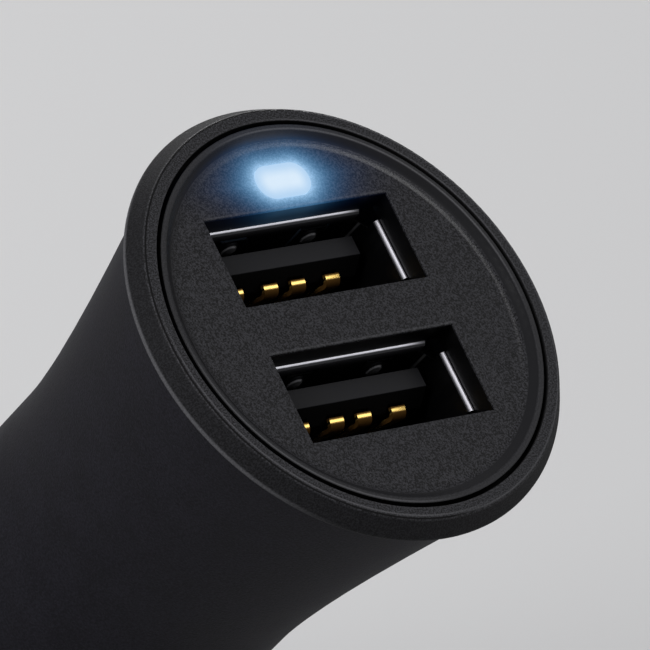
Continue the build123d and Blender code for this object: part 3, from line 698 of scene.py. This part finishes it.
# wire wound round Z, with the turns at both ends laid flat
coilTree, sockets = startTree("woundWire", {
    "Radius": "Float", "Wire": "Float", "Turns": "Float", "Height": "Float", "Flat Turns": "Float",
    "Points": "Int", "Sides": "Int"})
line = addNode(coilTree, "GeometryNodeCurvePrimitiveLine", End=(0, 0, 1))
path = addNode(coilTree, "GeometryNodeResampleCurve", Curve=line.outputs[0], Count=sockets["Points"])
along = addNode(coilTree, "GeometryNodeSplineParameter").outputs["Factor"]
turn = maths(coilTree, "MULTIPLY", along, sockets["Turns"])
angle = maths(coilTree, "MULTIPLY", turn, math.tau)
lastRise = maths(coilTree, "SUBTRACT", sockets["Turns"], sockets["Flat Turns"])
rise = addNode(coilTree, "ShaderNodeMapRange", Value=turn, From_Min=sockets["Flat Turns"],
               From_Max=lastRise, To_Max=sockets["Height"])
place = addNode(coilTree, "ShaderNodeCombineXYZ", Z=rise.outputs[0],
                X=maths(coilTree, "MULTIPLY", maths(coilTree, "COSINE", angle), sockets["Radius"]),
                Y=maths(coilTree, "MULTIPLY", maths(coilTree, "SINE", angle), sockets["Radius"]))
wound = addNode(coilTree, "GeometryNodeSetPosition", Geometry=path.outputs[0], Position=place.outputs[0])
section = addNode(coilTree, "GeometryNodeCurvePrimitiveCircle", Resolution=sockets["Sides"],
                  Radius=maths(coilTree, "MULTIPLY", sockets["Wire"], 0.5))
tube = addNode(coilTree, "GeometryNodeCurveToMesh", Curve=wound.outputs[0],
               Profile_Curve=section.outputs[0], Fill_Caps=True)
endTree(coilTree, tube.outputs[0], sockets["Finish"])

# spring behind the centre contact, closed at both ends
coilSet = {"wire": 0.6 * mm, "turns": 5.5, "flatTurns": 0.5, "points": 320, "sides": 12,
           "press": 3.0 * mm, "seatGap": 0.05 * mm}
coilLow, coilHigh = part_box("tip_spring")
coilLength = coilHigh.z - coilLow.z
tipCoil = growPiece(coilTree, "tipCoil", {
    "Radius": (coilHigh.x - coilLow.x - coilSet["wire"]) / 2, "Wire": coilSet["wire"],
    "Turns": coilSet["turns"], "Height": coilLength - coilSet["wire"], "Flat Turns": coilSet["flatTurns"],
    "Points": coilSet["points"], "Sides": coilSet["sides"], "Finish": metals["wire"]})
tipCoil.data.transform(Matrix.Translation((0, 0, coilLow.z + coilSet["wire"] / 2)))
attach(tipCoil, "housing")
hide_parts("tip_spring")
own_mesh(tipCoil)

# enamelled turns side by side on the choke
windingSet = {"wire": 0.36 * mm, "turns": 5.0, "flatTurns": 0.0, "points": 260, "sides": 12}
windingLow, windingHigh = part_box("inductor_winding")
windingMiddle = (windingLow + windingHigh) / 2
windingTurns = growPiece(coilTree, "windingTurns", {
    "Radius": (windingHigh.y - windingLow.y - windingSet["wire"]) / 2, "Wire": windingSet["wire"],
    "Turns": windingSet["turns"], "Height": windingHigh.x - windingLow.x - windingSet["wire"],
    "Flat Turns": windingSet["flatTurns"], "Points": windingSet["points"], "Sides": windingSet["sides"],
    "Finish": metals["copper"]})
windingTurns.data.transform(
    Matrix.Translation((windingLow.x + windingSet["wire"] / 2, windingMiddle.y, windingMiddle.z))
    @ Matrix.Rotation(math.radians(90), 4, "Y"))
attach(windingTurns, "housing")
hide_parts("inductor_winding")

# solder under the port board, one joint round each contact's tail and each lamp lead
jointTree, sockets = startTree("solderJoints", {
    "Foot": "Float", "Neck": "Float", "Height": "Float", "Sides": "Int", "Rings": "Int"})
bead = addNode(jointTree, "GeometryNodeMeshCone", Vertices=sockets["Sides"], Side_Segments=sockets["Rings"],
               Radius_Bottom=sockets["Foot"], Radius_Top=sockets["Neck"], Depth=sockets["Height"])
beads = addNode(jointTree, "GeometryNodeInstanceOnPoints", Points=sockets["Geometry"],
                Instance=bead.outputs["Mesh"], Rotation=(math.pi, 0, 0))  # hanging from the board
endTree(jointTree, beads.outputs[0], sockets["Finish"])
solderSet = {
    "foot": 0.46 * mm,
    "neck": 0.34 * mm,
    "height": 0.7 * mm,
    "sides": 20,
    "rings": 2,
    "tailPlaces": (-3.5 * mm, -1.0 * mm, 1.0 * mm, 3.5 * mm),
    "tailShift": 0.185 * mm,  # the tails stand this far above the socket's middle
    "leadPlaces": (-0.9 * mm, 0.9 * mm),
}
jointPlaces = []
for port in ("upper", "lower"):
    portLow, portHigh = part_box("usb_shell_" + port)
    rowY = (portLow.y + portHigh.y) / 2
    jointPlaces += [(x, rowY + solderSet["tailShift"], boardUnderZ) for x in solderSet["tailPlaces"]]
leadLow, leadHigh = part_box("led_legs")
leadY = (leadLow.y + leadHigh.y) / 2
jointPlaces += [(x, leadY, boardUnderZ) for x in solderSet["leadPlaces"]]
solderJoints = growPiece(jointTree, "solderJoints", {
    "Foot": solderSet["foot"], "Neck": solderSet["neck"], "Height": solderSet["height"],
    "Sides": solderSet["sides"], "Rings": solderSet["rings"], "Finish": metals["tin"]}, jointPlaces)
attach(solderJoints, "housing")
print("wound wire and", len(jointPlaces), "solder joints made")

# floor and surrounding light
floorSet = {
    "colour": (0.72, 0.72, 0.73),
    "rough": 0.9,
    "gloss": 0.2,
    "half": 6.0,  # metres
    "drop": 0.2 * mm,  # clear of the tip
    "worldLight": 0.18,
}
floorMesh = bpy.data.meshes.new("floor")
half = floorSet["half"]
floorCorners = [(-half, -half, 0), (half, -half, 0), (half, half, 0), (-half, half, 0)]
floorMesh.from_pydata(floorCorners, [], [(0, 1, 2, 3)])
floorMesh.transform(Matrix.Translation((0, 0, tipEndZ - floorSet["drop"])))
floor = bpy.data.objects.new("floor", floorMesh)
bpy.context.scene.collection.objects.link(floor)
floorPaint, _, shader, _ = startFinish("floorPaint", floorSet)
shader.inputs["Base Color"].default_value = (*floorSet["colour"], 1)
shader.inputs["Roughness"].default_value = floorSet["rough"]
floorMesh.materials.append(floorPaint)

world = bpy.data.worlds.new("studio")
bpy.context.scene.world = world
world.use_nodes = True
background = world.node_tree.nodes["Background"]
background.inputs["Color"].default_value = (1, 1, 1, 1)
background.inputs["Strength"].default_value = floorSet["worldLight"]

# lamps: direction from the head, distance, width and height in metres, watts
lampSet = {
    "keyLamp": {"toward": (-0.80, 0.28, 0.53), "distance": 0.55, "size": 0.32, "watts": 2.6},
    "crestSoftbox": {"toward": (0.45, 0.13, 0.885), "distance": 0.55, "size": 0.25, "watts": 0.65},
    "contactSoftbox": {"toward": (0.63, -0.10, 0.77), "distance": 0.55, "size": 0.22, "watts": 0.20},
    "upperLipSoftbox": {"toward": (0.64, -0.55, 0.54), "distance": 0.55, "size": 0.22, "watts": 0.12},
    "sideFill": {"toward": (-0.95, -0.15, 0.28), "distance": 0.6, "size": 0.35, "watts": 0.12},
    "rimStrip": {"toward": (0.58, 0.81, -0.06), "distance": 0.55, "size": 0.30, "tall": 0.055, "watts": 2.0},
    "backFill": {"toward": (0.77, -0.63, -0.03), "distance": 0.9, "size": 0.8, "tall": 0.05, "watts": 1.0},
}
headMiddle = Vector((0, 0, (ringLow.z + ringHigh.z) / 2))
for name, lamp in lampSet.items():
    light = bpy.data.lights.new(name, "AREA")
    light.shape = "ELLIPSE"
    light.size = lamp["size"]
    light.size_y = lamp.get("tall", lamp["size"])
    light.energy = lamp["watts"]
    holder = bpy.data.objects.new(name, light)
    direction = Vector(lamp["toward"]).normalized()
    holder.location = headMiddle + direction * lamp["distance"]
    holder.rotation_euler = direction.to_track_quat("Z", "Y").to_euler()
    holder.visible_camera = False
    bpy.context.scene.collection.objects.link(holder)
print("lamps placed,", len(lampSet))

# camera at the photograph's angle, framed for a square picture
cameraSet = {
    "place": (-0.288103, -0.146406, 0.335151),
    "turn": (36.40966, -29.77597, -28.99094),  # degrees
    "lens": 453.59,
    "sensor": 36.0,
    "nearest": 0.01,  # metres
}
camera = bpy.data.cameras.new("camera")
camera.lens = cameraSet["lens"]
camera.sensor_width = cameraSet["sensor"]
camera.clip_start = cameraSet["nearest"]
cameraHolder = bpy.data.objects.new("camera", camera)
cameraHolder.location = cameraSet["place"]
cameraHolder.rotation_euler = Euler([math.radians(turn) for turn in cameraSet["turn"]])
bpy.context.scene.collection.objects.link(cameraHolder)
bpy.context.scene.camera = cameraHolder
bpy.context.scene.view_settings.view_transform = "Standard"

print("scene ready")
